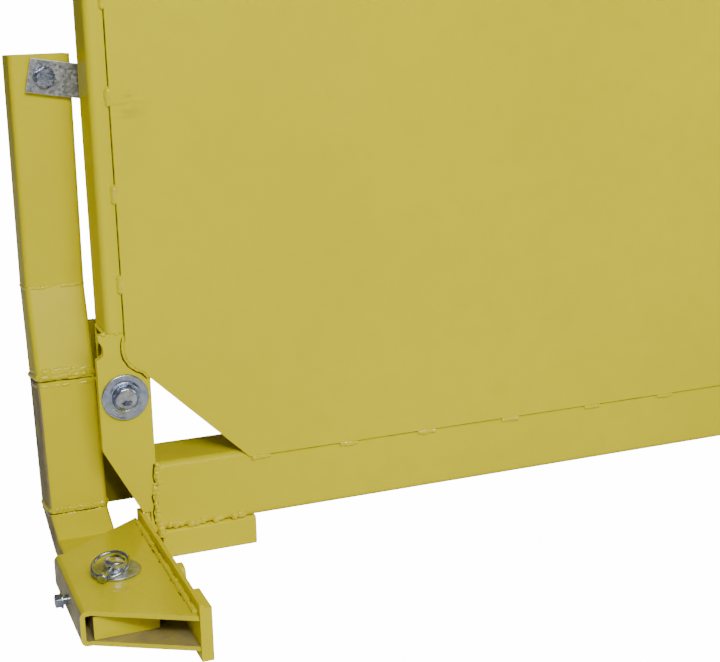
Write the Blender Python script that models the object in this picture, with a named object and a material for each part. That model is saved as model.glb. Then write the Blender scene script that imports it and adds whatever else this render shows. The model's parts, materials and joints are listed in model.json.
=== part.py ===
"""Skid steer hopper bucket: a tube-framed front panel, a folded sheet hopper behind it, and a swing arm
in a pin box at each front corner.

Axes: X across the bucket, +Y from the front panel to the machine, +Z up, ground at Z = 0.
One corner is drawn in millimetres in its own frame, whose origin is on the corner pin's axis in the
plane of the frame's front face. It is placed at the left and mirrored to the right.
"""

import math

import bmesh
import bpy
from mathutils import Matrix, Vector

# Where the corner frame sits in the model, mm.
PIN_X = 899.0  # corner pin axis from the middle plane
PIN_Z = 192.3  # corner pin axis above the ground
FRONT_Y = 197.7  # the frame's front face lies this far in front of the middle of the depth
GAP = 0.3  # between faces that touch

# Front frame
TOP = 667.7  # top of the frame above the corner pin
POST = (-16.0, 34.0, 0.0, 60.0)  # x, x, y, y
POST_FOOT = 70.0
BEAM_X0, BEAM_Y, BEAM_Z = 29.0, 74.0, (-158.3, -80.0)
TOP_BEAM_H = 60.0
SHEET_T, SHEET_X0, SHEET_Z0 = 3.0, 3.8, -86.5
CHAMFER = ((28.0, 18.0), (133.6, SHEET_Z0))
FOOT = (32.0, 139.0, 0.0, 60.0, -PIN_Z, -158.6)
MID_POST_X = 400.0  # from the middle plane

# Corner ears and pin
EAR_T, REAR_EAR_Y = 10.0, (BEAM_Y + GAP, BEAM_Y + GAP + 10.0)
PIN_R, PIN_HOLE_R = 12.0, 12.4
WASHER_R, WASHER_T = 25.0, 3.0

# Bracket and pin box
PLATE_X = (8.0, 12.6)
BAR_X = (12.9, 20.0)
BRACKET_Y = (-242.3, 17.6)
BRACKET_TOP = -134.0
BOX_TOP, BOX_BOT, BOX_T, BOX_R = -146.0, -182.0, 5.0, 6.5
BOX_LEFT, BOX_RIGHT = -94.0, 7.7
BOX_BACK = ((7.7, 22.0), (-84.5, -45.0))
BOX_FRONT = ((7.7, -240.0), (-83.5, -187.4))
HINGE = (-42.5, -110.0)
RING_R, RING_WIRE, RING_TILT = 18.6, 1.8, 19.0
LYNCH_Z, LYNCH_HEAD = -139.4, 28.8  # height of the lynch pin, and its head's distance from the hinge pin
HEX = 1000.0  # marks a radius as a hexagon's

# Swing arm: front and rear lines of its side profile, as (y, z) at each mitred seam
ARM_X = (-83.0, -19.5)
ARM_WALL = 3.0
ARM_R = [6.0, 6.0, 6.0, 6.0, 4.0, 1.5]
ARM_F = [(68.0, 355.0), (81.0, 108.5), (52.0, 14.5), (34.0, -134.0), (8.0, -153.0), (-187.4, -153.0)]
ARM_B = [(118.0, 353.0), (130.0, 104.0), (112.0, 4.0), (96.0, -144.0), (32.0, -176.7), (-187.4, -176.7)]
ARM_SHIFT = [0.0, 0.0, 0.0, 0.0, 1.5, 1.5]
SEAM_GAP = 0.15

# Strap
STRAP_Y, STRAP_T, STRAP_W, STRAP_L = 63.6, 4.0, 35.4, 140.0
STRAP_TILT, STRAP_BOLT, STRAP_END = -9.4, (-48.7, 332.2), 17.5

# Hopper, in the same axes
SIDE_X, SIDE_T = 85.0, 4.0
HOP_Y0, HOP_Y1 = 63.6, 530.0
HOP_Z0, HOP_BEND_Y, HOP_BEND_Z = 24.7, 330.0, 224.7
RIM = 40.0
SADDLE_X = (250.0, 555.0)
HITCH_W, HITCH_Y, HITCH_T = 1140.0, 560.0, 8.0
HITCH_Z = (-135.0, 285.0)

for old in list(bpy.data.objects):
    bpy.data.objects.remove(old, do_unlink=True)


def material(name, colour, metallic, roughness):
    m = bpy.data.materials.new(name)
    m.use_nodes = True
    b = m.node_tree.nodes["Principled BSDF"]
    b.inputs["Base Color"].default_value = (*colour, 1.0)
    b.inputs["Metallic"].default_value = metallic
    b.inputs["Roughness"].default_value = roughness
    return m


PAINT = material("yellow_paint", (0.77, 0.63, 0.018), 0.0, 0.34)
ZINC = material("zinc_plate", (0.56, 0.58, 0.62), 1.0, 0.36)


def to_model(points, side):
    """Corner frame in mm to the model in metres; side is 1 for the left corner and -1 for the right."""
    return [Vector((side * (x - PIN_X), y - FRONT_Y, z + PIN_Z)) / 1000 for x, y, z in points]


def make(name, points, faces, mat, side=1, origin=None):
    """One closed mesh; origin is the joint's point for a piece that moves."""
    verts = to_model(points, side)
    at = to_model([origin], side)[0] if origin else Vector()
    mesh = bpy.data.meshes.new(name)
    mesh.from_pydata([v - at for v in verts], [], faces)
    bm = bmesh.new()
    bm.from_mesh(mesh)
    bmesh.ops.remove_doubles(bm, verts=bm.verts, dist=1e-7)
    bmesh.ops.recalc_face_normals(bm, faces=bm.faces)
    bm.to_mesh(mesh)
    bm.free()
    mesh.materials.append(mat)
    obj = bpy.data.objects.new(name, mesh)
    bpy.context.scene.collection.objects.link(obj)
    obj.location = at
    bpy.context.view_layer.update()
    return obj


def ring_faces(a, b, n):
    return [(a + i, a + (i + 1) % n, b + (i + 1) % n, b + i) for i in range(n)]


def loft(name, outer, mat, inner=None, capped=False, side=1, origin=None):
    """A body through rings of points. With inner rings it is a tube, closed at its last end if capped."""
    n = len(outer[0])
    points = [p for ring in outer for p in ring]
    faces = []
    for k in range(len(outer) - 1):
        faces += ring_faces(k * n, (k + 1) * n, n)
    last = (len(outer) - 1) * n
    if inner is None:
        faces += [tuple(range(n)), tuple(range(last, last + n))]
    else:
        base = len(points)
        points += [p for ring in inner for p in ring]
        for k in range(len(inner) - 1):
            faces += ring_faces(base + k * n, base + (k + 1) * n, n)
        end = base + (len(inner) - 1) * n
        faces += ring_faces(0, base, n)
        if capped:
            faces += [tuple(range(last, last + n)), tuple(range(end, end + n))]
        else:
            faces += ring_faces(last, end, n)
    return make(name, points, faces, mat, side, origin)


def rounded(x0, x1, y0, y1, r, steps=5):
    out = []
    at = ((x1 - r, y1 - r), (x0 + r, y1 - r), (x0 + r, y0 + r), (x1 - r, y0 + r))
    for start, (cx, cy) in zip((0, 90, 180, 270), at):
        for i in range(steps + 1):
            a = math.radians(start + 90 * i / steps)
            out.append((cx + r * math.cos(a), cy + r * math.sin(a)))
    return out


def lift(outline, axis, at):
    """Puts a flat outline at one station of an axis: X takes (y, z), Y takes (x, z), Z takes (x, y)."""
    if axis == "X":
        return [(at, a, b) for a, b in outline]
    if axis == "Y":
        return [(a, at, b) for a, b in outline]
    return [(a, b, at) for a, b in outline]


def prism(name, outline, axis, lo, hi, mat, side=1, origin=None, inner=None):
    rings = [lift(outline, axis, lo), lift(outline, axis, hi)]
    holes = [lift(inner, axis, lo), lift(inner, axis, hi)] if inner else None
    return loft(name, rings, mat, holes, side=side, origin=origin)


def tube(name, axis, lo, hi, a0, a1, b0, b1, r, wall, side=1):
    inside = rounded(a0 + wall, a1 - wall, b0 + wall, b1 - wall, max(r - wall, 1.0))
    return prism(name, rounded(a0, a1, b0, b1, r), axis, lo, hi, PAINT, side, inner=inside)


def circle(cx, cy, r, n=32):
    return [(cx + r * math.cos(math.tau * i / n), cy + r * math.sin(math.tau * i / n)) for i in range(n)]


def carve(obj, tool):
    """Takes tool out of obj and removes tool."""
    mod = obj.modifiers.new("cut", "BOOLEAN")
    mod.operation, mod.solver, mod.object = "DIFFERENCE", "EXACT", tool
    bpy.context.view_layer.update()
    done = bpy.data.meshes.new_from_object(obj.evaluated_get(bpy.context.evaluated_depsgraph_get()))
    obj.modifiers.remove(mod)
    done.name = obj.name
    obj.data = done
    bpy.data.objects.remove(tool, do_unlink=True)


def cut(obj, outline, axis, lo, hi, side=1):
    """Takes a prism out of obj."""
    carve(obj, prism("cutter", outline, axis, lo, hi, PAINT, side))


def revolve(name, profile, centre, axis, mat, side=1, origin=None, n=32):
    """Turns a profile of (radius, height) about an axis through centre. A radius of 0 closes an end, and one
    above HEX is a hexagon's half width across flats, plus HEX."""
    rings = []
    for r, h in profile:
        flat = max(r, 0.02)
        pts = circle(0, 0, flat, n)
        if r > HEX:
            turns = [math.tau * i / n for i in range(n)]
            rads = [(r - HEX) / math.cos((t + math.pi / 6) % (math.pi / 3) - math.pi / 6) for t in turns]
            pts = [(q * math.cos(t), q * math.sin(t)) for q, t in zip(rads, turns)]
        if axis == "X":
            rings.append([(centre[0] + h, centre[1] + a, centre[2] + b) for a, b in pts])
        elif axis == "Y":
            rings.append([(centre[0] + a, centre[1] + h, centre[2] + b) for a, b in pts])
        else:
            rings.append([(centre[0] + a, centre[1] + b, centre[2] + h) for a, b in pts])
    return loft(name, rings, mat, side=side, origin=origin)


def washer(name, centre, axis, r_out, r_in, thick, side, origin):
    flat = {"Y": (centre[0], centre[2]), "Z": (centre[0], centre[1])}[axis]
    at = centre[{"Y": 1, "Z": 2}[axis]]
    return prism(name, circle(*flat, r_out), axis, at, at + thick, ZINC, side, origin, circle(*flat, r_in))


def arm_ring(k, inset, along):
    """The arm's section at seam k, moved along the arm by the seam gap; inset is the wall for the bore."""
    f, b = Vector(ARM_F[k]), Vector(ARM_B[k])
    step = Vector((0.0, 0.0))
    if along:
        j = k + (1 if along > 0 else -1)
        mid = (Vector(ARM_F[j]) + Vector(ARM_B[j])) / 2 - (f + b) / 2
        step = mid.normalized() * SEAM_GAP
    across = (b - f).normalized()
    depth = (b - f).length
    x0, x1 = ARM_X[0] + ARM_SHIFT[k] + inset, ARM_X[1] + ARM_SHIFT[k] - inset
    r = max(ARM_R[k] - inset, 1.0)
    out = []
    for x, d in rounded(x0, x1, inset, depth - inset, r):
        p = f + across * d + step
        out.append((x, p.x, p.y))
    return out


def arm_piece(name, ks, side, capped=False):
    pivot = (HINGE[0], HINGE[1], BOX_TOP)
    outer, inner = [], []
    for i, k in enumerate(ks):
        along = 1 if i == 0 and k > 0 else -1 if i == len(ks) - 1 and k < len(ARM_F) - 1 else 0
        outer.append(arm_ring(k, 0.0, along))
        inner.append(arm_ring(k, ARM_WALL, along))
    if capped:
        inner[-1] = [(x, y + 4.0, z) for x, y, z in inner[-1]]
    return loft(name, outer, PAINT, inner, capped, side, pivot)


def folded_corner(r, top, steps=6):
    """The pin box's fold of radius r, about the centre that both its faces share."""
    cz, start = (BOX_TOP - BOX_R, 90) if top else (BOX_BOT + BOX_R, 180)
    turn = [math.radians(start + 90 * i / steps) for i in range(steps + 1)]
    return [(BOX_LEFT + BOX_R + r * math.cos(a), cz + r * math.sin(a)) for a in turn]


def corner(prefix, side):
    """Everything at one front corner."""
    s = dict(side=side)
    p = prefix + "_"

    # Frame post and the two ears under it
    tube(p + "post", "Z", POST_FOOT, TOP, *POST, 7.0, 3.0, **s)
    notch = [(-27.5, 43.0), (-23.5, 44.0), (-20.2, 47.5), (-19.4, 52.5), (-20.6, 58.0), (-24.0, 62.5)]
    front = [(-24.8, 69.7), (28.6, 69.7), (28.6, -158.0), (20.3, -158.0), (20.3, -133.7), (11.9, -133.7),
             (-27.5, -57.5)] + notch
    ear = prism(p + "front_ear", front, "Y", 0.0, EAR_T, PAINT, **s)
    cut(ear, circle(0, 0, PIN_HOLE_R), "Y", -5, 20, side)
    back = [(-18.9, 68.0), (40.0, 68.0), (40.0, -144.6), (-18.9, -144.6)]
    ear = prism(p + "rear_ear", back, "Y", *REAR_EAR_Y, PAINT, **s)
    cut(ear, circle(0, 0, PIN_HOLE_R), "Y", 60, 100, side)
    x0, x1, y0, y1, z0, z1 = FOOT
    tube(p + "foot", "X", x0, x1, y0, y1, z0, z1, 4.0, 3.0, side)

    # Bracket plate and the hook bar beside it
    y0, y1 = BRACKET_Y
    flat = [(y0, -PIN_Z), (y1, -PIN_Z), (y1, BRACKET_TOP), (y0, BRACKET_TOP)]
    prism(p + "bracket_plate", flat, "X", *PLATE_X, PAINT, **s)
    hook = [(y0, -PIN_Z), (y0, -137.5), (-197.7, -137.5), (-197.7, -158.0), (-147.4, -158.0), (-147.4, -142.5),
            (-144.5, -139.2), (-140.0, -138.0), (-131.0, -138.4), (-124.5, -141.5), (-120.5, -147.0),
            (-118.0, -158.0), (-40.0, -158.0), (-40.0, -PIN_Z)]
    prism(p + "hook_bar", hook, "X", *BAR_X, PAINT, **s)

    # Folded pin box: a channel open to the bracket, cut to a trapezium in plan
    section = [(BOX_RIGHT, BOX_TOP)] + folded_corner(BOX_R, True) + folded_corner(BOX_R, False)
    section += [(BOX_RIGHT, BOX_BOT), (BOX_RIGHT, BOX_BOT + BOX_T)] + folded_corner(BOX_R - BOX_T, False)[::-1]
    section += folded_corner(BOX_R - BOX_T, True)[::-1] + [(BOX_RIGHT, BOX_TOP - BOX_T)]
    box = prism(p + "pin_box", section, "Y", -262.0, 40.0, PAINT, **s)
    for (xr, yr), (xl, yl), far in ((*BOX_BACK, 80.0), (*BOX_FRONT, -300.0)):
        plan = [(xr + 20, yr + (yr - yl) / (xr - xl) * 20), (xl, yl), (BOX_LEFT - 20, yl),
                (BOX_LEFT - 20, far), (xr + 20, far)]
        cut(box, plan, "Z", -220, -120, side)
    cut(box, circle(*HINGE, PIN_HOLE_R), "Z", -200, -130, side)
    cut(box, circle(HINGE[1] - 3.0, -165.0, 5.1), "X", -110, -80, side)

    # Swing arm in four mitred pieces
    pivot = (HINGE[0], HINGE[1], BOX_TOP)
    upper = arm_piece(p + "arm_upper", (0, 1), side)
    cut(upper, circle(*STRAP_BOLT, 6.3), "Y", 40, 160, side)
    arm_piece(p + "arm_bend", (1, 2), side)
    arm_piece(p + "arm_lower", (2, 3), side)
    toe = arm_piece(p + "arm_toe", (3, 4, 5), side, capped=True)
    cut(toe, circle(*HINGE, PIN_HOLE_R + 0.4), "Z", -200, -130, side)

    # Strap on the arm's head, and its bolt with a washer under the head and a nut behind
    turn = Matrix.Rotation(math.radians(-STRAP_TILT), 3, "Y")
    hx, hz = STRAP_BOLT
    skew = 0.057 * STRAP_W
    flat = [(-STRAP_END + skew, STRAP_W / 2), (STRAP_L - STRAP_END, STRAP_W / 2),
            (STRAP_L - STRAP_END, -STRAP_W / 2), (-STRAP_END, -STRAP_W / 2)]
    outline = []
    for a, b in flat:
        v = turn @ Vector((a, 0, b))
        outline.append((hx + v.x, hz + v.z))
    hinge_at = (hx, STRAP_Y, hz)
    strap = prism(p + "strap", outline, "Y", STRAP_Y, STRAP_Y + STRAP_T, ZINC, origin=hinge_at, **s)
    cut(strap, circle(hx, hz, 6.4), "Y", STRAP_Y - 5, STRAP_Y + 10, side)
    head = STRAP_Y - GAP
    profile = [(0, head - 9.0), (8.6, head - 9.0), (HEX + 8.8, head - 8.0), (HEX + 9.0, head - 1.9),
               (11.6, head - 1.9), (11.6, head), (6.0, head), (6.0, 123.2), (HEX + 9.0, 123.2),
               (HEX + 9.0, 132.0), (6.0, 132.0), (6.0, 136.0), (0, 136.0)]
    revolve(p + "strap_bolt", profile, (hx, 0, hz), "Y", ZINC, side, pivot, n=36)

    # Hinge pin up through the box and the toe, its washer, and the lynch pin with its ring
    base = BOX_BOT - GAP
    profile = [(0, base - 6.0), (17.0, base - 6.0), (18.0, base - 5.0), (18.0, base), (PIN_R, base),
               (PIN_R, -134.6), (11.4, -132.6), (9.4, -131.2), (5.4, -130.3), (0, -130.0)]
    pin = revolve(p + "hinge_pin", profile, (*HINGE, 0), "Z", ZINC, side)
    washer(p + "hinge_washer", (*HINGE, BOX_TOP + GAP), "Z", WASHER_R, PIN_HOLE_R, WASHER_T, side, None)
    way = Vector((-0.60, -0.80, 0.0))
    flank = Vector((0.80, -0.60, 0.0))
    up = Vector((0.0, 0.0, 1.0))
    mid = Vector((*HINGE, LYNCH_Z))

    hole = [[tuple(mid + way * d + flank * (a * 3.3) + up * (b * 3.3)) for a, b in circle(0, 0, 1, 16)]
            for d in (-20.0, 20.0)]
    carve(pin, loft("cutter", hole, PAINT, side=side))
    rings = []
    for d, r in ((-15.5, 1.6), (-13.5, 3.0), (25.6, 3.0), (25.6, 4.4), (26.4, 5.0), (32.0, 5.0), (33.0, 4.2)):
        rings.append([tuple(mid + way * d + flank * (a * r) + up * (b * r)) for a, b in circle(0, 0, 1, 16)])
    loft(p + "lynch_pin", rings, ZINC, side=side, origin=tuple(mid))

    # The ring: an open loop of wire whose ends sit either side of the lynch pin's head, tilted up behind
    knuckle = mid + way * LYNCH_HEAD
    tilt = math.radians(RING_TILT)
    inward = -way * math.cos(tilt) + up * math.sin(tilt)
    normal = inward.cross(flank)
    centre = knuckle + inward * RING_R
    rings = []
    for i in range(29):
        a = math.radians(20.5 + 319 * i / 28)
        out = -inward * math.cos(a) + flank * math.sin(a)
        rings.append([tuple(centre + out * (RING_R + RING_WIRE * u) + normal * (RING_WIRE * v))
                      for u, v in circle(0, 0, 1, 8)])
    loft(p + "lynch_ring", rings, ZINC, side=side, origin=tuple(knuckle))

    # Set bolt through the box's side wall, with a collar under its hexagon head
    at = (0, HINGE[1] - 3.0, -165.0)
    profile = [(0, -105.4), (HEX + 5.6, -105.4), (HEX + 6.5, -104.6), (HEX + 6.5, -99.6), (8.4, -99.6),
               (8.4, -97.8), (4.9, -97.8), (4.9, -85.0), (4.0, -83.9), (0, -83.9)]
    revolve(p + "set_bolt", profile, at, "X", ZINC, side, (BOX_LEFT, at[1], at[2]), n=24)

    # Corner pin through both ears, with its front washer
    profile = [(0, -7.6), (6.0, -7.9), (8.2, -8.8), (10.4, -9.0), (11.6, -8.2), (PIN_R, -6.8), (PIN_R, 95.0),
               (10.5, 97.0), (0, 97.0)]
    revolve(p + "corner_pin", profile, (0, 0, 0), "Y", ZINC, side, (0, 0, 0))
    washer(p + "corner_washer", (0, -GAP - WASHER_T, 0), "Y", WASHER_R, PIN_R + GAP, WASHER_T, side, (0, 0, 0))

    # Hopper side sheet and the frame's inner post
    side_wall = [(HOP_Y0, HOP_Z0), (HOP_BEND_Y, HOP_Z0), (HOP_Y1, HOP_BEND_Z), (HOP_Y1, TOP - RIM - GAP),
                 (HOP_Y0, TOP - RIM - GAP)]
    prism(p + "hopper_side", side_wall, "X", SIDE_X, SIDE_X + SIDE_T, PAINT, **s)
    x = PIN_X - MID_POST_X
    tube(p + "mid_post", "Z", BEAM_Z[1] + GAP, TOP - TOP_BEAM_H - GAP, x - 25, x + 25, 0, 60, 7.0, 3.0, side)
    for tag, from_mid in (("inner", SADDLE_X[0]), ("outer", SADDLE_X[1])):
        x = PIN_X - from_mid
        under = [(BEAM_Y + GAP, -150.0), (BEAM_Y + GAP, HOP_Z0 - GAP), (HOP_BEND_Y + 0.12, HOP_Z0 - GAP),
                 (HOP_Y1, HOP_BEND_Z - 0.42), (HITCH_Y - GAP, HOP_BEND_Z - 0.42), (HITCH_Y - GAP, -160.0),
                 (520.0, -PIN_Z), (390.0, -PIN_Z), (300.0, -150.0)]
        prism(p + tag + "_saddle", under, "X", x - 5, x + 5, PAINT, **s)


for prefix, side in (("left", 1), ("right", -1)):
    corner(prefix, side)

# Pieces that cross the middle plane, drawn from the left corner frame to its mirror image.
FAR = 2 * PIN_X

tube("bottom_beam", "X", BEAM_X0, FAR - BEAM_X0, 0, BEAM_Y, *BEAM_Z, 8.0, 4.0)
tube("top_beam", "X", POST[1] + GAP, FAR - POST[1] - GAP, 0, 60, TOP - TOP_BEAM_H, TOP, 6.0, 3.0)

# Front sheet: its lower corners are cut back round the ears and chamfered to the beam.
edge = [(SHEET_X0, TOP - 8.0), (SHEET_X0, 62.0), (2.0, 59.0), (2.0, 49.0), (4.0, 42.0), (9.0, 34.5),
        (15.5, 29.0), (22.0, 26.0), CHAMFER[0], CHAMFER[1]]
sheet = edge + [(FAR - x, z) for x, z in reversed(edge)]
prism("front_sheet", sheet, "Y", -GAP - SHEET_T, -GAP, PAINT)

# Hopper: front wall, folded floor, back wall and rim
x0, x1 = SIDE_X + SIDE_T + GAP, FAR - SIDE_X - SIDE_T - GAP
z0, z1 = HOP_Z0, TOP - TOP_BEAM_H - 2
wall = [(SIDE_X, z0), (FAR - SIDE_X, z0), (FAR - SIDE_X, z1), (SIDE_X, z1)]
prism("hopper_front", wall, "Y", 60.3, 63.3, PAINT)
t = 4.0
slope = math.atan2(HOP_BEND_Z - HOP_Z0, HOP_Y1 - HOP_BEND_Y)
inner_bend = HOP_BEND_Y - t * math.tan(slope / 2)
rise = (HOP_BEND_Z - HOP_Z0) / (HOP_Y1 - HOP_BEND_Y)
y_end = HOP_Y1 - t - GAP
floor = [(HOP_Y0, HOP_Z0), (HOP_BEND_Y, HOP_Z0), (y_end, HOP_Z0 + (y_end - HOP_BEND_Y) * rise),
         (y_end, HOP_Z0 + t + (y_end - inner_bend) * rise), (inner_bend, HOP_Z0 + t), (HOP_Y0, HOP_Z0 + t)]
prism("hopper_floor", floor, "X", x0, x1, PAINT)
back = [(x0, HOP_BEND_Z), (x1, HOP_BEND_Z), (x1, TOP - RIM - GAP), (x0, TOP - RIM - GAP)]
prism("hopper_back", back, "Y", HOP_Y1 - t, HOP_Y1, PAINT)
mid_side = SIDE_X + SIDE_T / 2
h = RIM / 2
path = [((mid_side, 60.3), (1, 0)), ((mid_side, HOP_Y1 - 2), (1, -1)),
        ((FAR - mid_side, HOP_Y1 - 2), (-1, -1)), ((FAR - mid_side, 60.3), (-1, 0))]


def rim_ring(centre, miter, half, r):
    return [(centre[0] + a * miter[0], centre[1] + a * miter[1], TOP - h + b)
            for a, b in rounded(-half, half, -half, half, r)]


for name, (start, m0), (end, m1) in zip(("left_rim", "hopper_rim", "right_rim"), path, path[1:]):
    back_off = (Vector(end) - Vector(start)).normalized() * SEAM_GAP
    ends = [(Vector(start) + back_off, m0), (Vector(end) - back_off, m1)]
    outer = [rim_ring(c, m, h, 5.0) for c, m in ends]
    loft(name, outer, PAINT, [rim_ring(c, m, h - 3.0, 2.0) for c, m in ends])

# Hitch plate with a hooked lip along its top and a slotted flange along its foot
a0, a1 = PIN_X - HITCH_W / 2, PIN_X + HITCH_W / 2
z0, z1 = HITCH_Z
y0, y1 = HITCH_Y, HITCH_Y + HITCH_T
lo, hi = z0 + 10.0, z1 - 10.0
prism("hitch_plate", [(a0, lo + GAP), (a1, lo + GAP), (a1, hi - GAP), (a0, hi - GAP)], "Y", y0, y1, PAINT)
lip = [(y0, hi), (y0, z1 + 2.0), (y1 + 38, z1 + 34.0), (y1 + 44, z1 + 28.0), (y1 + 44, z1 + 6.0),
       (y1 + 36, z1 + 6.0), (y1 + 36, z1 + 20.0), (y1, z1 - 4.0), (y1, hi)]
prism("hitch_lip", lip, "X", a0, a1, PAINT)
ledge = [(y0, z0), (637.7, z0 - 14.0), (637.7, z0 - 4.0), (y1, lo), (y0, lo)]
flange = prism("hitch_flange", ledge, "X", a0, a1, PAINT)
for x in (PIN_X - 415.0, PIN_X + 415.0):
    slot = rounded(x - 38, x + 38, y1 + 16, y1 + 50, 6.0)
    cut(flange, slot, "Z", z0 - 40, z0 + 40)
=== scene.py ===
"""Finish for the hopper bucket: rounded plate edges, laid weld beads, painted shade in the seams, yellow powder
coat and bright zinc.

Positions at a corner are in millimetres in that corner's own frame: the origin is on the corner pin's axis in
the plane of the frame's front face, X runs across the bucket, Y back towards the machine and Z up. The right
corner is the mirror image of the left one.
"""

import json
import math

import bmesh
import bpy
from mathutils import Matrix, Vector

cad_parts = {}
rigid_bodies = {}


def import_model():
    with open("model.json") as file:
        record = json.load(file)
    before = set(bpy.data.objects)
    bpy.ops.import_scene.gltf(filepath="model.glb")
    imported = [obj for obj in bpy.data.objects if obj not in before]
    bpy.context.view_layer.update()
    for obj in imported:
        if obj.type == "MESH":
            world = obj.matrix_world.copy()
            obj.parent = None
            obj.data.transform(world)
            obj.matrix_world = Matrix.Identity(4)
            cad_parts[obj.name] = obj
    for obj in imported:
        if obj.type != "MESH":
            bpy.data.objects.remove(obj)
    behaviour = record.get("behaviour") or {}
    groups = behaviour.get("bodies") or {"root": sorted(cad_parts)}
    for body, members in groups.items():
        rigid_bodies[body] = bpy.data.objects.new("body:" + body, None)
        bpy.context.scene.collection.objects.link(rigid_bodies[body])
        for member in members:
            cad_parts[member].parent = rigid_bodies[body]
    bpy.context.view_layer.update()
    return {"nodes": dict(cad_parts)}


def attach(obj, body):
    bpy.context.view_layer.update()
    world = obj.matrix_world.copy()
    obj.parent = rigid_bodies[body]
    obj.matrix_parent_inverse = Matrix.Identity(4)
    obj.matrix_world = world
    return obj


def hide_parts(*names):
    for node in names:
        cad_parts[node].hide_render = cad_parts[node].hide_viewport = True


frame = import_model()
scene = bpy.context.scene

MM_IN_M = 1000
CLEAR = 1e-7  # m, closer than this is the same point

# Sizes shared with the solid model, mm
PIN_X, PIN_Y, PIN_Z = 899.0, 197.7, 192.3  # a corner's origin from the model's
TOP = 667.7  # top of the frame above the corner pin
BOX_TOP = -146.0  # top of the pin box
HINGE = (-42.5, -110.0)  # the hinge pin in plan
ARM_X = (-83.0, -19.5)
ARM_R = 6.0  # the arm tube's corner radius
ARM_FRONT = [(68.0, 355.0), (81.0, 108.5), (52.0, 14.5), (34.0, -134.0), (8.0, -153.0)]  # Y, Z at each seam
ARM_BACK = [(118.0, 353.0), (130.0, 104.0), (112.0, 4.0), (96.0, -144.0), (32.0, -176.7)]
SIDES = (("left", 1), ("right", -1))


def at(x, y, z, side=1):
    """A point of the corner's own frame in mm, in the model's metres."""
    return Vector((side * (x - PIN_X), y - PIN_Y, z + PIN_Z)) / MM_IN_M


# ---------------------------------------------------------------- finishes


def new_finish(name):
    mat = bpy.data.materials.new(name)
    mat.use_nodes = True
    return mat, mat.node_tree, mat.node_tree.nodes["Principled BSDF"]


def feed(tree, socket, value):
    if isinstance(value, bpy.types.NodeSocket):
        tree.links.new(value, socket)
    else:
        socket.default_value = value


def node(tree, kind, inputs=None, **settings):
    n = tree.nodes.new(kind)
    for key, value in settings.items():
        setattr(n, key, value)
    for key, value in (inputs or {}).items():
        feed(tree, n.inputs[key], value)
    return n


def maths(tree, operation, a, b=0.0, clamp=False):
    n = node(tree, "ShaderNodeMath", {0: a, 1: b}, operation=operation, use_clamp=clamp)
    return n.outputs[0]


def ranged(tree, value, low, high, to_low=0.0, to_high=1.0):
    span = {"Value": value, "From Min": low, "From Max": high, "To Min": to_low, "To Max": to_high}
    return node(tree, "ShaderNodeMapRange", span).outputs[0]


def tint(tree, amount, a, b):
    n = node(tree, "ShaderNodeMix", {0: amount, 6: a, 7: b}, data_type="RGBA")
    return n.outputs[2]


def speckle(tree, where, scale, detail=2.0, rough=0.5, stretch=None):
    """Noise between 0 and 1 at so many features a metre."""
    if stretch:
        where = node(tree, "ShaderNodeMapping", {"Vector": where, "Scale": stretch}).outputs[0]
    look = {"Vector": where, "Scale": scale, "Detail": detail, "Roughness": rough}
    return node(tree, "ShaderNodeTexNoise", look).outputs["Fac"]


def relief(tree, height, strength, depth, below=None):
    inputs = {"Height": height, "Strength": strength, "Distance": depth}
    if below is not None:
        inputs["Normal"] = below
    return node(tree, "ShaderNodeBump", inputs).outputs[0]


def patch(tree, where, centre, reach):
    """1 at a spot on the surface, falling to 0 at its reach."""
    away = node(tree, "ShaderNodeVectorMath", {0: where, 1: tuple(centre)}, operation="DISTANCE")
    return ranged(tree, away.outputs["Value"], 0.0, reach, 1.0, 0.0)


def marked(tree, name):
    """How far a face carries a mark of its own, from 0 to 1."""
    return node(tree, "ShaderNodeAttribute", attribute_name=name).outputs["Fac"]


# Paint colours
FRESH, DEEP, MOTTLED = (0.86, 0.755, 0.0), (0.80, 0.685, 0.0), (0.72, 0.60, 0.0)
# A lighter colour for the rounded edges: partly wear, partly painted highlight.
WORN_EDGE_HIGHLIGHT = (0.90, 0.80, 0.06, 1)
# A dark brown for marked faces: painted shade inside the pin box, a darker tone on outward faces.
DARK_BROWN_TONE = (0.30, 0.245, 0.155, 1)
SCUFFED = (0.33, 0.27, 0.05, 1)
SCUFF_SPOT, SCUFF_REACH = at(20, -3.3, 308), 0.026

# Sizes of the paint's patterns, in features a metre
SWAY, DRIFTS, GLOSS_DRIFTS = 5.0, 2.3, 7.0
BROWN_TONE_CLOUDS, MOTTLES, SCRATCHES = 26.0, 34.0, 46.0
EDGE_WEAR_AND_HIGHLIGHT, ORANGE_PEEL = 130.0, 260.0


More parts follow.
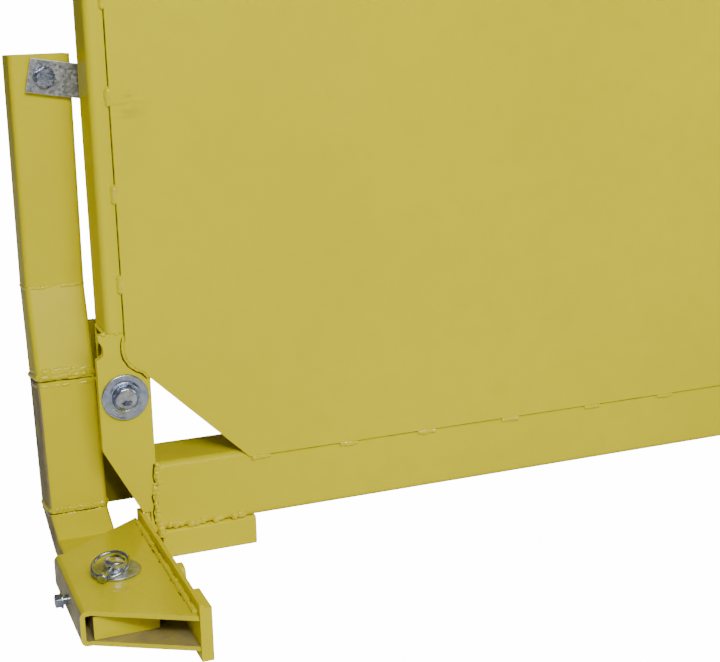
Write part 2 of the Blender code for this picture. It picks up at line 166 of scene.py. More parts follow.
def powder_coat(name, smoothest, roughest, coat, peel, shade=1.0):
    """Yellow powder coat: slow drifts of shade, orange peel, edges lightened as wear and painted highlight, a
    scuff, and a dark brown tone that is painted shade inside the pin box.
    """
    mat, tree, shader = new_finish(name)
    where = node(tree, "ShaderNodeTexCoord").outputs["Object"]
    fresh, deep, mottled = [(*(channel * shade for channel in paint), 1) for paint in (FRESH, DEEP, MOTTLED)]
    drift = ranged(tree, speckle(tree, where, DRIFTS, 3.0), 0.35, 0.68)
    colour = tint(tree, drift, fresh, deep)
    mottle = ranged(tree, speckle(tree, where, MOTTLES, 4.0, 0.6), 0.45, 0.75, 0.0, 0.22)
    colour = tint(tree, mottle, colour, mottled)

    # Rounded edges lighten where the noise allows: partly wear, partly painted highlight.
    wear_and_highlight = ranged(tree, speckle(tree, where, EDGE_WEAR_AND_HIGHLIGHT, 4.0, 0.7), 0.42, 0.66)
    wear_and_highlight = maths(tree, "MULTIPLY", wear_and_highlight, marked(tree, "rubbed"))
    colour = tint(tree, maths(tree, "MULTIPLY", wear_and_highlight, 0.55), colour, WORN_EDGE_HIGHLIGHT)

    # Marked faces turn dark brown: painted shade inside the pin box, a darker tone on faces that look outward.
    brown_tone = ranged(tree, speckle(tree, where, BROWN_TONE_CLOUDS, 5.0, 0.65), 0.3, 0.6, 0.55, 1.0)
    brown_tone = maths(tree, "MULTIPLY", brown_tone, marked(tree, "grime"))
    colour = tint(tree, brown_tone, colour, DARK_BROWN_TONE)

    scratch = ranged(tree, speckle(tree, where, SCRATCHES, 5.0, 0.7, (0.5, 1.0, 2.6)), 0.52, 0.62)
    scuff = maths(tree, "MULTIPLY", scratch, patch(tree, where, SCUFF_SPOT, SCUFF_REACH))
    colour = tint(tree, maths(tree, "MULTIPLY", scuff, 0.45), colour, SCUFFED)
    feed(tree, shader.inputs["Base Color"], colour)

    rough = ranged(tree, speckle(tree, where, GLOSS_DRIFTS, 3.0), 0.3, 0.7, smoothest, roughest)
    dulled = maths(tree, "MULTIPLY", maths(tree, "ADD", wear_and_highlight, brown_tone), 0.25)
    feed(tree, shader.inputs["Roughness"], maths(tree, "ADD", rough, dulled, True))
    shader.inputs["Coat Weight"].default_value = coat
    shader.inputs["Coat Roughness"].default_value = 0.08
    shader.inputs["Specular IOR Level"].default_value = 0.22

    bent = relief(tree, speckle(tree, where, SWAY, 1.0), 0.35, 0.004)
    orange_peel = relief(tree, speckle(tree, where, ORANGE_PEEL, 2.0, 0.5), peel, 0.0004, bent)
    chip = relief(tree, maths(tree, "SUBTRACT", 1.0, wear_and_highlight), 0.2, 0.0003, orange_peel)
    feed(tree, shader.inputs["Normal"], chip)
    return mat


# Strap colours, and the sizes of its patterns in features a metre
FLAKE_DARK, FLAKE_LIGHT = (0.22, 0.23, 0.245, 1), (0.56, 0.58, 0.61, 1)
# The strap's edge colour is lighter: partly wear, partly painted highlight.
STRAP_STAIN, STRAP_WORN_EDGE_HIGHLIGHT = (0.30, 0.29, 0.27, 1), (0.78, 0.79, 0.80, 1)
SPANGLES, STAINS, ROLLING = 420.0, 220.0, 300.0


def rolled_zinc():
    """Dull grey zinc with a fine spangle and faint rolling marks, for the straps."""
    mat, tree, shader = new_finish("spangled zinc strap")
    where = node(tree, "ShaderNodeTexCoord").outputs["Object"]
    grain = node(tree, "ShaderNodeTexVoronoi", {"Vector": where, "Scale": SPANGLES, "Randomness": 1.0})
    flake = node(tree, "ShaderNodeSeparateColor", {"Color": grain.outputs["Color"]}).outputs[0]
    stain = ranged(tree, speckle(tree, where, STAINS, 4.0, 0.6), 0.35, 0.65)
    colour = tint(tree, flake, FLAKE_DARK, FLAKE_LIGHT)
    colour = tint(tree, maths(tree, "MULTIPLY", stain, 0.45), colour, STRAP_STAIN)
    # Rounded strap edges are lightened: partly wear, partly painted highlight.
    colour = tint(tree, maths(tree, "MULTIPLY", marked(tree, "rubbed"), 0.5), colour, STRAP_WORN_EDGE_HIGHLIGHT)
    feed(tree, shader.inputs["Base Color"], colour)
    shader.inputs["Metallic"].default_value = 0.9
    feed(tree, shader.inputs["Roughness"], ranged(tree, flake, 0.0, 1.0, 0.34, 0.5))
    rolled = relief(tree, speckle(tree, where, ROLLING, 2.0, 0.5, (0.12, 1.0, 1.0)), 0.15, 0.0002)
    feed(tree, shader.inputs["Normal"], relief(tree, flake, 0.12, 0.0002, rolled))
    return mat


# Zinc plate's warm stain, and the sizes of its patterns in features a metre
PLATE_STAIN = (0.62, 0.55, 0.40, 1)
TARNISH, WARMTH, POLISH, TOOL_MARKS, DINGS = 150.0, 70.0, 90.0, 900.0, 190.0


def bright_zinc(name, base, shadow, smoothest, ding_depth):
    """Zinc plate on turned and cold-headed pieces, with fine tool marks and small dings."""
    mat, tree, shader = new_finish(name)
    where = node(tree, "ShaderNodeTexCoord").outputs["Object"]
    tarnish = ranged(tree, speckle(tree, where, TARNISH, 4.0, 0.6), 0.35, 0.65)
    colour = tint(tree, tarnish, (*base, 1), (*shadow, 1))
    warm = ranged(tree, speckle(tree, where, WARMTH, 2.0), 0.56, 0.72, 0.0, 0.35)
    colour = tint(tree, warm, colour, PLATE_STAIN)
    feed(tree, shader.inputs["Base Color"], colour)
    shader.inputs["Metallic"].default_value = 1.0
    rough = ranged(tree, speckle(tree, where, POLISH, 3.0), 0.3, 0.7, smoothest, smoothest + 0.16)
    feed(tree, shader.inputs["Roughness"], rough)
    dings = relief(tree, speckle(tree, where, DINGS, 3.0, 0.6), ding_depth, 0.0008)
    marks = relief(tree, speckle(tree, where, TOOL_MARKS, 2.0), 0.08, 0.0001, dings)
    feed(tree, shader.inputs["Normal"], marks)
    return mat


# Yellow finishes: name, smoothest, roughest, coat, orange peel, shade
PAINT = powder_coat("yellow powder coat", 0.32, 0.44, 0.04, 0.16)
WELD_PAINT = powder_coat("yellow powder coat over welds", 0.10, 0.18, 1.0, 0.2)
BOX_PAINT = powder_coat("yellow powder coat on the pin box", 0.16, 0.34, 0.45, 0.22)
# Paint darkened to 0.42 as painted shade, for the rear ears that sit behind the front ears.
SHADED_PAINT = powder_coat("thin dirty powder coat", 0.4, 0.55, 0.0, 0.16, 0.42)
# Near-black paint for lines in gaps, cracks, pits and under steps: painted shade.
SEAM_SHADE = powder_coat("dirt in a seam", 0.6, 0.8, 0.0, 0.3, 0.10)

# Zinc finishes: name, colour, tarnished colour, smoothest, depth of the dings
STRAP_ZINC = rolled_zinc()
PLATED = bright_zinc("bright zinc fastener", (0.52, 0.58, 0.74), (0.32, 0.37, 0.50), 0.18, 0.22)
WROUGHT = bright_zinc("bright zinc pin head", (0.66, 0.70, 0.82), (0.30, 0.34, 0.44), 0.12, 0.7)
SATIN = bright_zinc("satin zinc washer", (0.62, 0.66, 0.74), (0.34, 0.37, 0.44), 0.34, 0.3)
DOME = bright_zinc("bright zinc hinge pin", (0.84, 0.87, 0.92), (0.50, 0.54, 0.62), 0.14, 0.3)


# ---------------------------------------------------------------- plate, tube and fastener shapes


def keep(name, mesh, body, finish, nodes=()):
    """One finished piece on its body."""
    mesh.materials.clear()
    mesh.materials.append(finish)
    obj = bpy.data.objects.new(name, mesh)
    scene.collection.objects.link(obj)
    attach(obj, body)
    if nodes:
        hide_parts(*nodes)
    return obj


def settle(mesh):
    """Large flats keep their own normals, so rounded edges shade smoothly into them."""
    obj = bpy.data.objects.new("settling", mesh)
    scene.collection.objects.link(obj)
    mod = obj.modifiers.new("normals", "WEIGHTED_NORMAL")
    mod.keep_sharp = True
    done = bpy.data.meshes.new_from_object(obj.evaluated_get(bpy.context.evaluated_depsgraph_get()))
    bpy.data.objects.remove(obj, do_unlink=True)
    return done


SAME_POINT = 3e-6  # m, how near two corners of neighbouring triangles lie
FLAT = math.radians(0.7)  # faces this near to level with each other become one
EDGE = math.radians(30)  # an edge sharper than this is rounded over
HARD = math.radians(38)  # an edge sharper than this keeps its crease
TURNED_HARD = math.radians(50)
TURNED_STEPS = 72


def eased_mesh(source, name, width, darken_face=None):
    """A solid's faces with their sharp edges rounded over. The last argument takes a face and says how far it
    turns dark brown.
    """
    bm = bmesh.new()
    bm.from_mesh(source)
    bmesh.ops.remove_doubles(bm, verts=bm.verts, dist=SAME_POINT)
    bmesh.ops.dissolve_limit(bm, angle_limit=FLAT, verts=bm.verts, edges=bm.edges)
    sharp = [e for e in bm.edges if len(e.link_faces) == 2 and e.calc_face_angle(0.0) > EDGE]
    rim = set()
    if width > 0 and sharp:
        done = bmesh.ops.bevel(bm, geom=sharp, offset=width, offset_type="OFFSET", segments=2, profile=0.5,
                               affect="EDGES", clamp_overlap=True)
        rim = set(done["faces"])
    # Rounded edges are marked to be lightened, as wear and painted highlight.
    rubbed = bm.loops.layers.float.new("rubbed")
    # Faces are marked to turn dark brown; inside the pin box this is painted shade.
    grime = bm.loops.layers.float.new("grime")
    for face in bm.faces:
        face.smooth = True
        darkening = darken_face(face) if darken_face else 0.0
        for loop in face.loops:
            loop[rubbed] = 1.0 if face in rim else 0.0
            loop[grime] = darkening
    for e in bm.edges:
        e.smooth = len(e.link_faces) == 2 and e.calc_face_angle(0.0) < HARD
    mesh = bpy.data.meshes.new(name)
    bm.to_mesh(mesh)
    bm.free()
    return settle(mesh)


def ease(name, width=1.0, finish=None, darken_face=None):
    source = frame["nodes"][name]
    mesh = eased_mesh(source.data, name + "_finished", width / MM_IN_M, darken_face)
    body = source.parent.name.removeprefix("body:")
    return keep(name + "_finished", mesh, body, finish or PAINT, [name])


def turned(name, profile, centre, axis, side, finish):
    """A lathe-turned piece that stands for a solid. profile is (radius, height); a radius of 0 closes an end,
    and a profile with none is a ring that closes on itself."""
    x, y, z = centre
    rows = []
    for radius, height in profile:
        row = []
        for i in range(TURNED_STEPS if radius > 0 else 1):
            turn = math.tau * i / TURNED_STEPS
            a, b = radius * math.cos(turn), radius * math.sin(turn)
            place = (x + a, y + height, z + b) if axis == "Y" else (x + a, y + b, z + height)
            row.append(at(*place, side))
        rows.append(row)
    bm = bmesh.new()
    made = [[bm.verts.new(p) for p in row] for row in rows]
    pairs = list(zip(made, made[1:]))
    if all(radius > 0 for radius, _ in profile):
        pairs.append((made[-1], made[0]))
    for low, high in pairs:
        for i in range(TURNED_STEPS):
            j = (i + 1) % TURNED_STEPS
            if len(low) == 1:
                bm.faces.new((low[0], high[i], high[j]))
            elif len(high) == 1:
                bm.faces.new((low[i], low[j], high[0]))
            else:
                bm.faces.new((low[i], low[j], high[j], high[i]))
    bmesh.ops.recalc_face_normals(bm, faces=bm.faces)
    for face in bm.faces:
        face.smooth = True
    for e in bm.edges:
        e.smooth = e.calc_face_angle(0.0) < TURNED_HARD
    mesh = bpy.data.meshes.new(name + "_finished")
    bm.to_mesh(mesh)
    bm.free()
    body = frame["nodes"][name].parent.name.removeprefix("body:")
    return keep(name + "_finished", mesh, body, finish, [name])


FACING = 0.7  # how squarely a face has to look one way


def darkened_outer_faces(side, lowest, highest):
    """A dark brown tone on the faces that look away from the bucket, between two heights."""
    def judge(face):
        z = face.calc_center_median().z * MM_IN_M - PIN_Z
        return 1.0 if face.normal.x * side < -FACING and lowest < z < highest else 0.0
    return judge


def darkened_pin_box(side):
    """A dark brown tone outside the pin box's long wall, and painted shade on the floor, roof and long wall
    inside it.
    """
    low, high = BOX_TOP - 31.5, BOX_TOP - 4.5

    def judge(face):
        way, z = face.normal, face.calc_center_median().z * MM_IN_M - PIN_Z
        if way.x * side < -FACING:
            return 0.9
        return 1.0 if low < z < high and (abs(way.z) > FACING or way.x * side > FACING) else 0.0
    return judge


# ---------------------------------------------------------------- welds


LUMPS = 95.0  # features a metre
SWELL = (0.66, 1.3)  # a bead's thinnest and thickest, as shares of its throat
BLUNT_END = 0.12
BEAD_SIDES = 10


def weld_tree():
    """A bead swept along each path: rippled, lumpy, and rounded off at its ends."""
    tree = bpy.data.node_groups.new("laid weld", "GeometryNodeTree")
    sockets = tree.interface
    sockets.new_socket("Path", in_out="INPUT", socket_type="NodeSocketGeometry")
    for label in ("Throat", "Ripple spacing", "Ripple depth", "Wander", "Step"):
        sockets.new_socket(label, in_out="INPUT", socket_type="NodeSocketFloat")
    sockets.new_socket("Seed", in_out="INPUT", socket_type="NodeSocketInt")
    sockets.new_socket("Finish", in_out="INPUT", socket_type="NodeSocketMaterial")
    sockets.new_socket("Weld", in_out="OUTPUT", socket_type="NodeSocketGeometry")
    given = tree.nodes.new("NodeGroupInput").outputs
    line = node(tree, "GeometryNodeMeshToCurve", {"Mesh": given["Path"]}).outputs[0]
    line = node(tree, "GeometryNodeResampleCurve", {"Curve": line, "Length": given["Step"]}, mode="LENGTH")
    line = line.outputs[0]
    run = node(tree, "GeometryNodeSplineParameter").outputs["Length"]
    whole = node(tree, "GeometryNodeSplineLength").outputs["Length"]

    beat = maths(tree, "FRACT", maths(tree, "DIVIDE", run, given["Ripple spacing"]))
    off = maths(tree, "SUBTRACT", beat, 0.5)
    dip = maths(tree, "MULTIPLY", maths(tree, "MULTIPLY", off, off), 4.0)
    ripple = maths(tree, "SUBTRACT", 1.0, maths(tree, "MULTIPLY", dip, given["Ripple depth"]))

    place = node(tree, "GeometryNodeInputPosition").outputs[0]
    shift = node(tree, "ShaderNodeCombineXYZ", {"X": given["Seed"]}).outputs[0]
    place = node(tree, "ShaderNodeVectorMath", {0: place, 1: shift}, operation="ADD").outputs[0]
    lumps = node(tree, "ShaderNodeTexNoise", {"Vector": place, "Scale": LUMPS, "Detail": 2.0})
    swell = ranged(tree, lumps.outputs["Fac"], 0.3, 0.7, *SWELL)
    left = maths(tree, "MINIMUM", run, maths(tree, "SUBTRACT", whole, run))
    near = maths(tree, "DIVIDE", left, given["Throat"], True)
    end = maths(tree, "SQRT", maths(tree, "MULTIPLY", near, maths(tree, "SUBTRACT", 2.0, near)))
    end = maths(tree, "MAXIMUM", end, BLUNT_END)
    lumpy = maths(tree, "MULTIPLY", ripple, swell)
    size = maths(tree, "MULTIPLY", lumpy, maths(tree, "MULTIPLY", end, given["Throat"]))

    middle = {0: lumps.outputs["Color"], 1: (0.5, 0.5, 0.5)}
    jitter = node(tree, "ShaderNodeVectorMath", middle, operation="SUBTRACT").outputs[0]
    jitter = node(tree, "ShaderNodeVectorMath", {0: jitter, "Scale": given["Wander"]}, operation="SCALE")
    line = node(tree, "GeometryNodeSetPosition", {"Geometry": line, "Offset": jitter.outputs[0]}).outputs[0]
    ring = node(tree, "GeometryNodeCurvePrimitiveCircle", {"Resolution": BEAD_SIDES, "Radius": 1.0}).outputs[0]
    shape = {"Curve": line, "Profile Curve": ring, "Scale": size, "Fill Caps": True}
    sweep = node(tree, "GeometryNodeCurveToMesh", shape)
    solid = node(tree, "GeometryNodeSetShadeSmooth", {"Geometry": sweep.outputs[0]}).outputs[0]
    solid = node(tree, "GeometryNodeRealizeInstances", {"Geometry": solid}).outputs[0]
    solid = node(tree, "GeometryNodeSetMaterial", {"Geometry": solid, "Material": given["Finish"]}).outputs[0]
    out = tree.nodes.new("NodeGroupOutput")
    tree.links.new(solid, out.inputs["Weld"])
    return tree


WELD = weld_tree()
LINE_FINISH = {"welds": WELD_PAINT, "hopper_welds": WELD_PAINT, "seams": SEAM_SHADE}
laid = {}


def line(throat, spacing, depth, wander, seed, kind="welds", step=1.1):
    """The look of a bead or a line of painted shade, in mm. depth says how far its ripples cut in, as a share
    of its throat, wander how crooked it runs, and step how finely it is shaped."""
    sizes = {"Throat": throat, "Ripple spacing": spacing, "Wander": wander, "Step": step}
    inputs = {label: size / MM_IN_M for label, size in sizes.items()}
    return kind, {**inputs, "Ripple depth": depth, "Seed": seed, "Finish": LINE_FINISH[kind]}


LINES = {
    "upright stitch": line(3.7, 7.0, 0.10, 1.4, 3),
    "lower stitch": line(3.3, 6.0, 0.14, 1.8, 5),
    "ear curve": line(2.0, 5.0, 0.25, 1.6, 7),
    "ear to beam": line(3.9, 5.2, 0.30, 4.5, 9),
    "ear to foot": line(4.6, 5.0, 0.20, 3.0, 11),
    "foot to beam": line(4.9, 7.5, 0.34, 4.5, 13),
    "box to bracket": line(3.1, 5.0, 0.55, 3.4, 15),
    "ear notch": line(3.2, 4.0, 0.2, 1.6, 17),
    "post heel": line(2.2, 4.0, 0.2, 1.2, 19),
    "post side": line(1.6, 4.0, 0.2, 1.0, 21),
    "ear gap": line(4.6, 5.0, 0.18, 1.6, 22),
    "arm upper seam": line(2.7, 5.0, 0.26, 2.2, 23),
    "arm bend seam": line(3.6, 5.0, 0.22, 2.8, 25),
    "above arm bend": line(3.8, 5.6, 0.20, 3.0, 26),
    "below arm bend": line(2.5, 6.0, 0.14, 1.6, 28),
    "above arm toe": line(4.0, 5.0, 0.26, 3.0, 27),
    "arm toe seam": line(2.6, 4.4, 0.20, 1.6, 29),
    "spatter": line(3.0, 9.0, 0.05, 1.0, 30),
    # Lines of the kind seams are near-black painted shade in gaps, cracks, pits and under steps.
    "sheet edge painted shade": line(0.5, 9.0, 0.1, 0.6, 41, "seams", 2.2),
    "ear curve dirt": line(1.1, 7.0, 0.1, 0.8, 42, "seams"),
    "ear crack": line(1.0, 6.0, 0.2, 1.8, 43, "seams"),
    "box flecks": line(0.6, 3.0, 0.5, 1.6, 16, "seams"),
    "bracket nick": line(0.9, 3.0, 0.2, 1.0, 18, "seams"),
    "arm seam dirt": line(0.9, 8.0, 0.15, 1.0, 44, "seams"),
    "hopper to post": line(3.0, 4.0, 0.24, 1.4, 31, "hopper_welds", 1.8),
    "saddle top": line(2.8, 4.0, 0.24, 1.4, 33, "hopper_welds", 1.8),
    "saddle back": line(2.8, 4.0, 0.24, 1.4, 35, "hopper_welds", 1.8),
    "rim mitre": line(2.2, 4.0, 0.22, 1.0, 37, "hopper_welds", 1.8),
    "hitch plate": line(2.8, 4.2, 0.24, 1.2, 39, "hopper_welds", 1.8),
}


def lay(body, name, paths):
    """One of LINES along paths of model points, kept for its body."""
    points, edges = [], []
    for path in paths:
        base = len(points)
        points += path
        edges += [(base + i, base + i + 1) for i in range(len(path) - 1)]
    mesh = bpy.data.meshes.new("weld path")
    mesh.from_pydata(points, edges, [])
    obj = bpy.data.objects.new("weld path", mesh)
    mod = obj.modifiers.new("weld", "NODES")
    mod.node_group = WELD
    kind, inputs = LINES[name]
    for item in WELD.interface.items_tree:
        if item.item_type == "SOCKET" and item.in_out == "INPUT" and item.name in inputs:
            mod[item.identifier] = inputs[item.name]
    scene.collection.objects.link(obj)
    done = bpy.data.meshes.new_from_object(obj.evaluated_get(bpy.context.evaluated_depsgraph_get()))
    bpy.data.objects.remove(obj, do_unlink=True)
    laid.setdefault((body, kind), []).append(done)


def finish_welds():
    """Joins each body's lines of one kind into one piece."""
    for (body, kind), meshes in laid.items():
        bm = bmesh.new()
        for mesh in meshes:
            bm.from_mesh(mesh)
            bpy.data.meshes.remove(mesh)
        bmesh.ops.remove_doubles(bm, verts=bm.verts, dist=CLEAR)
        bmesh.ops.recalc_face_normals(bm, faces=bm.faces)
        for face in bm.faces:
            face.smooth = True
        mesh = bpy.data.meshes.new(f"{body}_{kind}")
        bm.to_mesh(mesh)
        bm.free()
        keep(f"{body}_{kind}", mesh, body, LINE_FINISH[kind])


ARM_BEND_STEPS = 6


def arm_loop(k, side, along, proud):
    """A path round the arm's tube at seam k, moved along the arm by some mm, standing proud of its faces."""
    front, back = Vector(ARM_FRONT[k]), Vector(ARM_BACK[k])
    other = k + 1 if along > 0 else k - 1
    way = (Vector(ARM_FRONT[other]) - front).normalized()
    back_way = (Vector(ARM_BACK[other]) - back).normalized()
    front, back = front + way * abs(along), back + back_way * abs(along)
    across = (back - front).normalized()
    x0, x1 = ARM_X[0] - proud + ARM_R, ARM_X[1] + proud - ARM_R
    near, far = -proud + ARM_R, (back - front).length + proud - ARM_R
    out = []
    for cx, cy, start in ((x1, far, 0), (x0, far, 90), (x0, near, 180), (x1, near, 270)):
        for i in range(ARM_BEND_STEPS):
            a = math.radians(start + 18 * i)
            p = front + across * (cy + ARM_R * math.sin(a))
            out.append(at(cx + ARM_R * math.cos(a), p.x, p.y, side))
    return out + [out[0]]


STITCH_Z = (111, 205, 304, 399, 494, 589)  # lower ends of the stitches up the post
STITCH_X = (135, 240, 337, 446, 559, 662, 768, 872)  # left ends of the stitches along the beam
STITCH_LONG = 24
SHADE_LINE_SHIFT = (-0.0016, 0.0004, -0.0012)  # m, from the bead on the ear's curve to its line of painted shade
FLECKS, FLECK_PITCH = 15, 15.5


def corner_welds(prefix, side):
    def path(*points):
        return [at(*p, side) for p in points]

    stitches = [path((2.6, -0.2, z), (2.2, -0.2, z + 9), (2.8, -0.2, z + 21)) for z in STITCH_Z]
    lay("frame", "upright stitch", stitches)
    lay("frame", "lower stitch", [path((x, -0.4, -88.6), (x + STITCH_LONG, -0.4, -88.9)) for x in STITCH_X])
    # Lines of painted shade along the front sheet's left and lower edges.
    upright = path((3.2, -0.4, TOP - 10), (3.2, -0.4, 66))
    lower = path((137, -0.4, -87.1), (890, -0.4, -87.1))
    lay("frame", "sheet edge painted shade", [upright, lower])

    curve = path((2.6, -0.6, 66), (0.8, -0.6, 58), (0.8, -0.6, 49), (2.6, -0.6, 42), (7.6, -0.6, 34),
                 (14, -0.6, 28.4), (21, -0.6, 25), (26.5, -0.6, 18.5))
    lay("frame", "ear curve", [curve])
    # A line of painted shade beside the bead on the ear's curve.
    across, back, up = SHADE_LINE_SHIFT
    lay("frame", "ear curve dirt", [[p + Vector((across * side, back, up)) for p in curve]])
    # A jagged line of painted shade in the crack between the ear and the beam.
    crack = path((26.5, 0.2, -79), (24.6, 0.2, -93), (27.0, 0.2, -106), (22.2, 0.2, -117), (24.4, 0.2, -127),
                 (22.6, 0.2, -136), (24.8, 0.2, -150))
    lay("frame", "ear crack", [crack])
    lay("frame", "ear to beam", [path((30.5, 1.0, -78), (29, 1.4, -92), (31.5, 1.0, -105)),
                                 path((26.5, 0.9, -100), (25, 1.2, -116)),
                                 path((29.5, 1.2, -110), (27, 1.0, -124)),
                                 path((25.5, 1, -121), (28.5, 1, -136), (26, 1, -149))])
    lay("frame", "ear to foot", [path((29, 1, -147), (30.5, -1, -156), (31.5, -1, -166))])
    lay("frame", "foot to beam", [path((36, 1.6, -152), (58, 1.6, -153)),
                                  path((60, 1.8, -154.5), (84, 1.4, -153.5)),
                                  path((88, 1.6, -155), (106, 1.2, -153.5)),
                                  path((109, 1.8, -154), (127, 1.6, -153))])

    lay("frame", "box to bracket", [path((6.0, 10, -144.9), (6.0, -234, -144.9))])
    # Short flecks of painted shade in pits along the box's weld, and painted shade in a nick at the bracket's
    # front corner.
    flecks = []
    for i in range(FLECKS):
        x, y, length = 3.2 + 1.3 * math.sin(2.4 * i), 4 - FLECK_PITCH * i, 6 + 3 * math.sin(1.7 * i)
        flecks.append(path((x, y, -145.9), (x + 0.9, y - length / 2, -145.8), (x + 0.2, y - length, -145.9)))
    lay("frame", "box flecks", flecks)
    lay("frame", "bracket nick", [path((10.6, -238.5, -137.4), (14.6, -237.6, -137.5))])

    lay("frame", "ear notch", [path((-23, 3, 66), (-20, 1, 70), (-16, -0.5, 71))])
    lay("frame", "post heel", [path((-2, -0.2, 70), (-8, -0.2, 70)), path((-16.5, 5, 70), (-16.5, 48, 70))])
    lay("frame", "post side", [path((-16.5, 49, 69), (-16.5, 49, -80)), path((22, 60.4, 70), (22, 60.4, 70.5))])
    gap = path((16.4, 5.0, -134.5), (16.6, 2.5, -141), (16.2, 4.0, -150), (17.0, 3.0, -159))
    lay("frame", "ear gap", [gap])

    arm = prefix + "_arm"
    # Lines of painted shade beside two of the arm's seams, where a step casts shade.
    lay(arm, "arm seam dirt", [arm_loop(2, side, 2.6, -0.4), arm_loop(3, side, -1.2, -0.5)])
    lay(arm, "arm upper seam", [arm_loop(1, side, 0.0, -1.5)])
    lay(arm, "arm bend seam", [arm_loop(2, side, -2.0, -1.4)])
    lay(arm, "above arm bend", [arm_loop(2, side, -8.0, -2.6)])
    lay(arm, "below arm bend", [arm_loop(2, side, 8.0, -2.0)])
    lay(arm, "above arm toe", [arm_loop(3, side, -5.5, -2.2)])
    lay(arm, "arm toe seam", [arm_loop(3, side, 1.0, -1.9)])
    lay(arm, "spatter", [path((-18.6, 53.5, 12), (-18.4, 52.5, 9), (-18.8, 51.5, 5))])


SADDLE_X = (PIN_X - 250.0, PIN_X - 555.0)
BOTH_FACES = (-5.6, 5.6)  # a bead on each side of a saddle plate
HOPPER_STITCH = 40


def hopper_welds():
    for _, side in SIDES:
        def path(*points):
            return [at(*p, side) for p in points]
        down = [path((84.6, 64.5, z), (84.6, 64.5, z + HOPPER_STITCH)) for z in range(60, 600, 120)]
        back = [path((86, 529, z), (86, 529, z + HOPPER_STITCH)) for z in range(240, 600, 110)]
        lay("frame", "hopper to post", down + back)
        for x in SADDLE_X:
            under = [path((x + d, 70, 23.4), (x + d, 326, 23.4), (x + d, 528, 222)) for d in BOTH_FACES]
            lay("frame", "saddle top", under)
            behind = [path((x + d, 558.6, -150), (x + d, 558.6, 215)) for d in BOTH_FACES]
            lay("frame", "saddle back", behind)
        mitre = path((67, 508, 648), (67, 508, 667), (86.5, 527.8, 668), (107, 548, 667))
        lay("frame", "rim mitre", [mitre])
    lay("frame", "hitch plate", [[at(x, 568.2, z) for x in (330, 1468)] for z in (275.0, -125.0)])


# ---------------------------------------------------------------- build


FILL_LOW, FILL_HIGH = (12.2, -242.3, -192.3), (13.3, -197.8, -137.6)
FILL_EDGE = 0.0002  # m


def fill_seam(name, side):
    """The bracket plate and the hook bar beside it are ground flush where they meet at the front end."""
    low, high = at(*FILL_LOW, side), at(*FILL_HIGH, side)
    bm = bmesh.new()
    bmesh.ops.create_cube(bm, size=1.0)
    for v in bm.verts:
        v.co = Vector((low[i] if v.co[i] < 0 else high[i]) for i in range(3))
    bmesh.ops.bevel(bm, geom=bm.edges[:], offset=FILL_EDGE, segments=1, affect="EDGES")
    bmesh.ops.recalc_face_normals(bm, faces=bm.faces)
    mesh = bpy.data.meshes.new(name)
    bm.to_mesh(mesh)
    bm.free()
    keep(name, mesh, "frame", PAINT)


def build_sheet_metal():
    """Every painted plate and tube, with the width of its rounded edges in mm."""
    for name in ("bottom_beam", "top_beam", "hopper_rim", "left_rim", "right_rim"):
        ease(name, 0.8)
    for name in ("front_sheet", "hopper_front", "hopper_floor", "hopper_back"):
        ease(name, 0.7)
    for name in ("hitch_plate", "hitch_lip", "hitch_flange"):
        ease(name, 1.2)
    for prefix, side in SIDES:
        p = prefix + "_"
        for name in ("post", "mid_post", "foot"):
            ease(p + name, 0.8)
        for name in ("front_ear", "inner_saddle", "outer_saddle"):
            ease(p + name, 1.0)
        # The rear ear takes paint darkened as painted shade.
        ease(p + "rear_ear", 0.8, SHADED_PAINT)
        for name in ("bracket_plate", "hook_bar"):
            ease(p + name, 0.35)
        fill_seam(p + "bracket_seam", side)
        ease(p + "hopper_side", 0.8)
        ease(p + "pin_box", 0.7, BOX_PAINT, darken_face=darkened_pin_box(side))
        ease(p + "arm_upper", 0.6)
        ease(p + "arm_bend", 0.5)
        ease(p + "arm_lower", 0.5, darken_face=darkened_outer_faces(side, -150, 40))
        ease(p + "arm_toe", 0.5, darken_face=darkened_outer_faces(side, -200, -100))


# Turned profiles: radius and height, mm
PIN_HEAD = [(0, -7.2), (3.6, -7.5), (6.2, -8.3), (8.4, -8.9), (9.8, -8.9), (11.0, -8.4), (11.8, -7.4),
            (12.0, -6.2), (12.0, 95.0), (10.5, 97.0), (0, 97.0)]
PIN_WASHER = [(12.3, -0.3), (24.2, -0.3), (25.0, -0.9), (25.0, -2.5), (24.4, -3.1), (23.4, -3.3), (22.4, -2.9),
              (17.2, -2.8), (16.4, -3.4), (15.2, -3.6), (14.2, -3.2), (13.6, -2.6), (12.3, -2.5)]
HINGE_WASHER = [(12.4, 0.3), (24.3, 0.3), (25.0, 0.9), (25.0, 2.5), (24.3, 3.2), (23.0, 3.3), (13.6, 3.3),
                (12.4, 2.7)]


def build_fasteners():
    for prefix, side in SIDES:
        p = prefix + "_"
        ease(p + "strap", 0.6, STRAP_ZINC)
        ease(p + "strap_bolt", 0.5, WROUGHT)
        for name in ("set_bolt", "lynch_ring", "lynch_pin"):
            ease(p + name, 0.5, PLATED)
        ease(p + "hinge_pin", 0.4, DOME)
        turned(p + "corner_pin", PIN_HEAD, (0, 0, 0), "Y", side, WROUGHT)
        turned(p + "corner_washer", PIN_WASHER, (0, 0, 0), "Y", side, PLATED)
        turned(p + "hinge_washer", HINGE_WASHER, (*HINGE, BOX_TOP), "Z", side, SATIN)


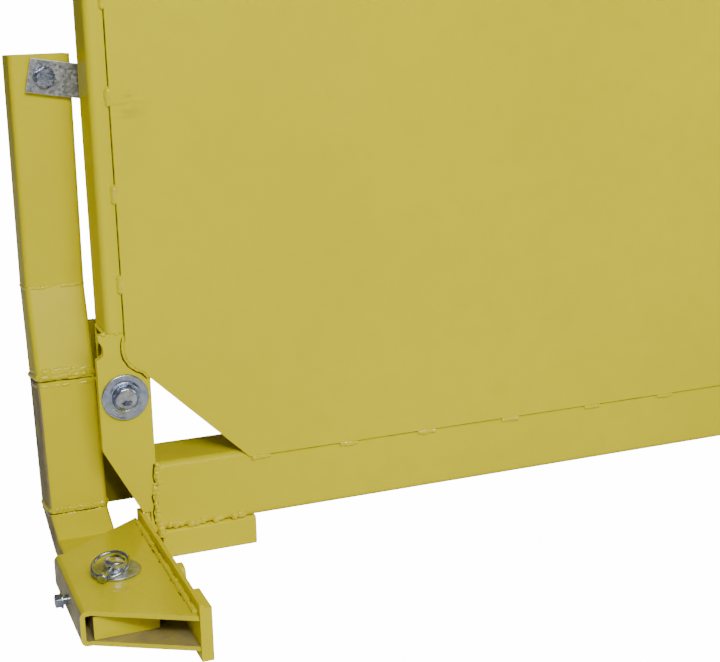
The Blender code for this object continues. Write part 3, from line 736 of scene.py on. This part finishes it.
# Lamps: place and target in m, width and height in m, watts
LAMPS = {
    "front light": ((-0.75, -2.8, 2.1), (-0.65, -0.2, 0.25), (1.5, 1.0), 58),
    "glint light": ((-1.3, -2.6, 1.9), (-0.8, -0.2, 0.2), (0.18, 0.18), 16),
    "side light": ((3.2, -1.6, 1.6), (0.4, 0, 0.4), (1.6, 1.6), 26),
    "rear light": ((0.9, 3.4, 3.0), (0.3, 0.3, 0.4), (2.4, 1.8), 50),
}
ROOM_LIGHT = 0.11
FLOOR_GLOW = 15.0
FLOOR_REACH = 90  # m


def light_lamp(name, place, target, size, watts):
    lamp = bpy.data.lights.new(name, "AREA")
    lamp.shape = "RECTANGLE"
    lamp.size, lamp.size_y = size
    lamp.energy = watts
    obj = bpy.data.objects.new(name, lamp)
    obj.location = place
    obj.rotation_euler = (Vector(target) - Vector(place)).to_track_quat("-Z", "Y").to_euler()
    scene.collection.objects.link(obj)


def floor_sheet(name, shade, glow, seen):
    """A wide pale floor. The one that is seen glows white and lights nothing; the other bounces the lamps'
    light."""
    mesh = bpy.data.meshes.new(name)
    corners = [(x * FLOOR_REACH, y * FLOOR_REACH, 0) for x, y in ((-1, -1), (1, -1), (1, 1), (-1, 1))]
    mesh.from_pydata(corners, [], [(0, 1, 2, 3)])
    mat, _, shader = new_finish(name)
    shader.inputs["Base Color"].default_value = (shade, shade, shade, 1)
    shader.inputs["Roughness"].default_value = 0.9
    shader.inputs["Emission Color"].default_value = (1, 1, 1, 1)
    shader.inputs["Emission Strength"].default_value = glow
    mesh.materials.append(mat)
    floor = bpy.data.objects.new(name, mesh)
    scene.collection.objects.link(floor)
    floor.visible_camera = seen
    floor.visible_diffuse = floor.visible_glossy = floor.visible_shadow = not seen


def build_studio():
    floor_sheet("white floor", 0.9, FLOOR_GLOW, True)
    floor_sheet("bounce floor", 0.8, 0.0, False)
    world = bpy.data.worlds.new("soft room")
    world.use_nodes = True
    world.node_tree.nodes["Background"].inputs["Color"].default_value = (1, 1, 1, 1)
    world.node_tree.nodes["Background"].inputs["Strength"].default_value = ROOM_LIGHT
    scene.world = world
    for name, settings in LAMPS.items():
        light_lamp(name, *settings)


# The view: its own axes in the model's, its place in m, and its lens in mm
VIEW_RIGHT = Vector((0.92864, -0.37045, -0.01973))
VIEW_DOWN = Vector((-0.11283, -0.23139, -0.9663))
VIEW_AHEAD = Vector((0.3534, 0.89957, -0.25668))
VIEW_PLACE = Vector((-1.17441, -1.58253, 0.62834))
VIEW_LENS, VIEW_SENSOR = 68.755, 36.0


def set_view():
    lens = bpy.data.cameras.new("view")
    lens.sensor_width, lens.lens = VIEW_SENSOR, VIEW_LENS
    lens.clip_start, lens.clip_end = 0.05, 100.0
    view = bpy.data.objects.new("view", lens)
    turn = Matrix((VIEW_RIGHT, -VIEW_DOWN, -VIEW_AHEAD)).transposed()
    view.matrix_world = Matrix.Translation(VIEW_PLACE) @ turn.to_4x4()
    scene.collection.objects.link(view)
    scene.camera = view


build_sheet_metal()
build_fasteners()
for prefix, side in SIDES:
    corner_welds(prefix, side)
hopper_welds()
finish_welds()
build_studio()
set_view()
